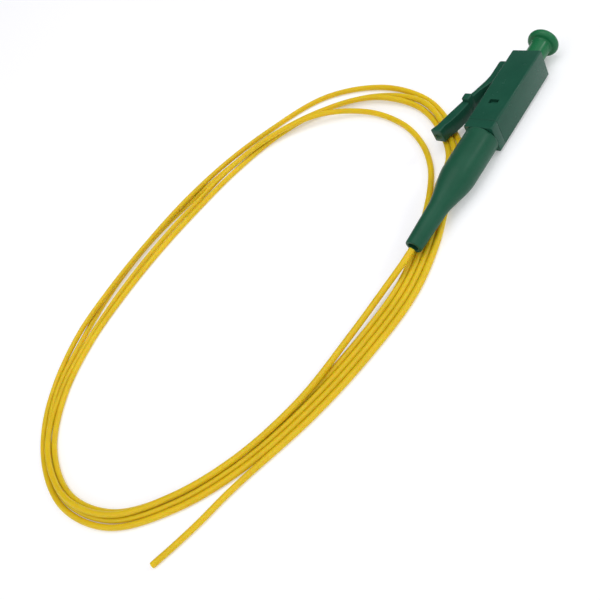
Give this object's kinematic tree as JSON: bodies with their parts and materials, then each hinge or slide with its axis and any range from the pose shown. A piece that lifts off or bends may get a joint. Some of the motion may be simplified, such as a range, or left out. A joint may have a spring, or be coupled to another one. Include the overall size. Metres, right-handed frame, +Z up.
{
  "type": "fibre optic pigtail",
  "caption": "Small square latching fibre plug with dust cap and soft tapered boot, on a loosely coiled tight-buffered fibre with a bare free end.",
  "frame": {"origin": "bottom centre of the plug end (cap, plug, latch and boot without the fibre), on the table it lies on", "axes": "+Y along the plug towards its nose, +Z up with the plug lying on its side, -X towards its latch"},
  "size_m": [0.0589, 0.0934, 0.0051],
  "materials": {
    "shell_green": "satin moulded plastic",
    "collar_green": "satin moulded plastic",
    "latch_green": "satin moulded plastic",
    "cap_green": "glossy soft plastic",
    "boot_green": "satin elastomer",
    "ceramic_white": "polished zirconia",
    "flange_metal": "turned metal",
    "jacket_yellow": "smooth buffer coating"
  },
  "bodies": {
    "plug": {"plug_body": "shell_green", "back_body": "collar_green", "boot": "boot_green", "ferrule": "ceramic_white", "ferrule_holder": "flange_metal", "fibre_turn_1": "jacket_yellow", "fibre_turn_2": "jacket_yellow", "fibre_turn_3": "jacket_yellow", "fibre_turn_4": "jacket_yellow", "fibre_free_end": "jacket_yellow"},
    "latch": {"latch": "latch_green"},
    "cap": {"dust_cap": "cap_green"}
  },
  "joints": [
    {"name": "latch_press", "type": "hinge", "parent": "plug", "child": "latch", "pos_m": [0.00055, 0.01202, 0.00266], "axis": [0, 0, 1], "range_deg": [0, 9], "stiffness_Nm_per_rad": 0.05},
    {"name": "cap_pull", "type": "slide", "parent": "plug", "child": "cap", "axis": [0, 1, 0], "range_m": [0, 0.012]}
  ]
}
